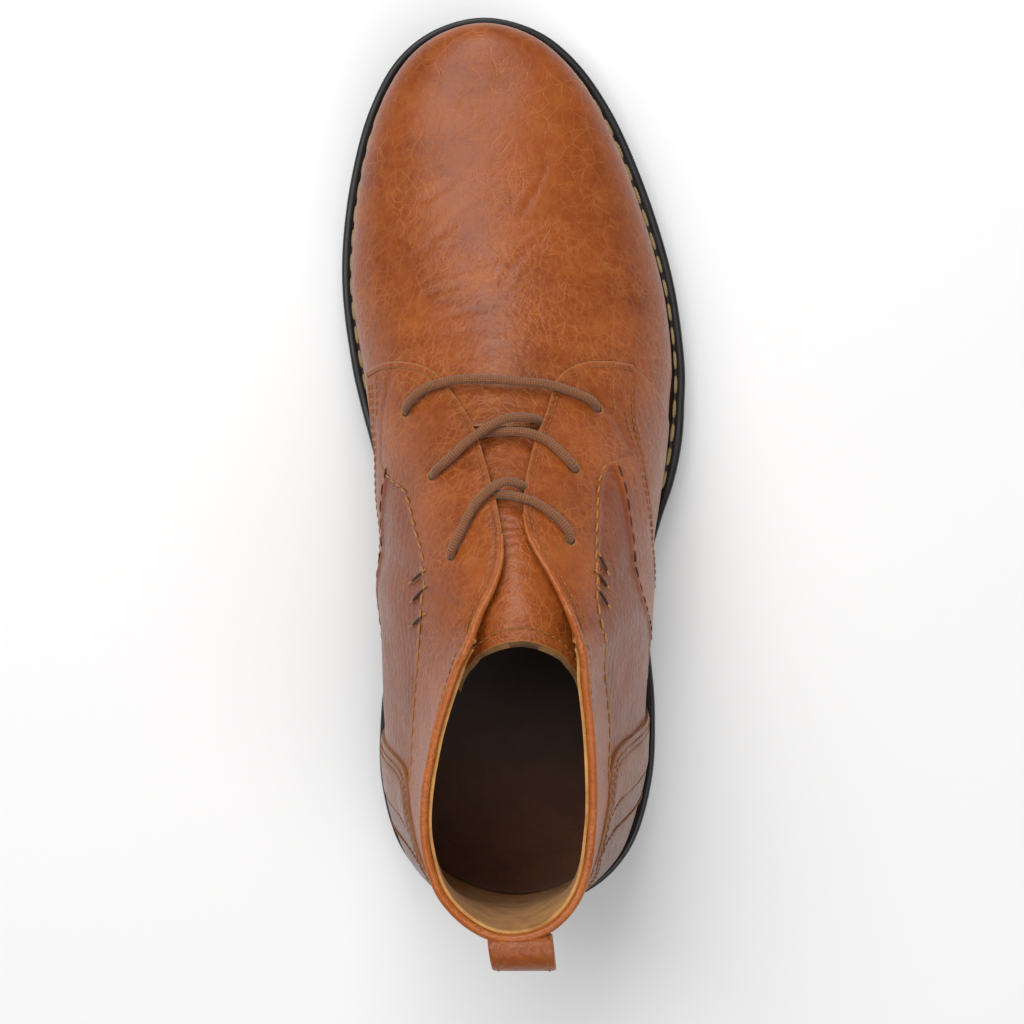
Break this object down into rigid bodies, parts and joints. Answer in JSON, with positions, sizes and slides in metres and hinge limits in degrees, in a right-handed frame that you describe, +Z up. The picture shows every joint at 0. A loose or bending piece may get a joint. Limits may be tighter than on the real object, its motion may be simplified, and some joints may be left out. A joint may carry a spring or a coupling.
{
  "type": "chukka boot",
  "caption": "Ankle-high lace-up leather chukka boot for the right foot, with a hollow last-shaped upper, open collar, welted rubber sole, block heel and a pull loop.",
  "frame": {"origin": "on the floor, at the centre of the sole's outline", "axes": "+Y from heel to toe, +Z up, +X to the outer side of the foot"},
  "size_m": [0.1136, 0.2942, 0.1277],
  "materials": {
    "upper_leather": "waxed pull-up, glossy",
    "lining_leather": "matte suede side",
    "insole_leather": "worn, matte",
    "sole_rubber": "moulded, satin",
    "welt_rubber": "smooth, satin",
    "lace_cord": "round waxed cord",
    "stitch_thread": "twisted thread"
  },
  "bodies": {
    "root": {"outsole": "sole_rubber", "heel": "sole_rubber", "welt": "welt_rubber", "insole": "insole_leather", "upper": "upper_leather", "quarter_outer": "upper_leather", "quarter_inner": "upper_leather", "counter": "upper_leather", "tongue": "upper_leather", "pull_loop": "upper_leather", "lace_bar": "lace_cord", "lace_crossing_front": "lace_cord", "lace_crossing_back": "lace_cord"}
  },
  "joints": []
}
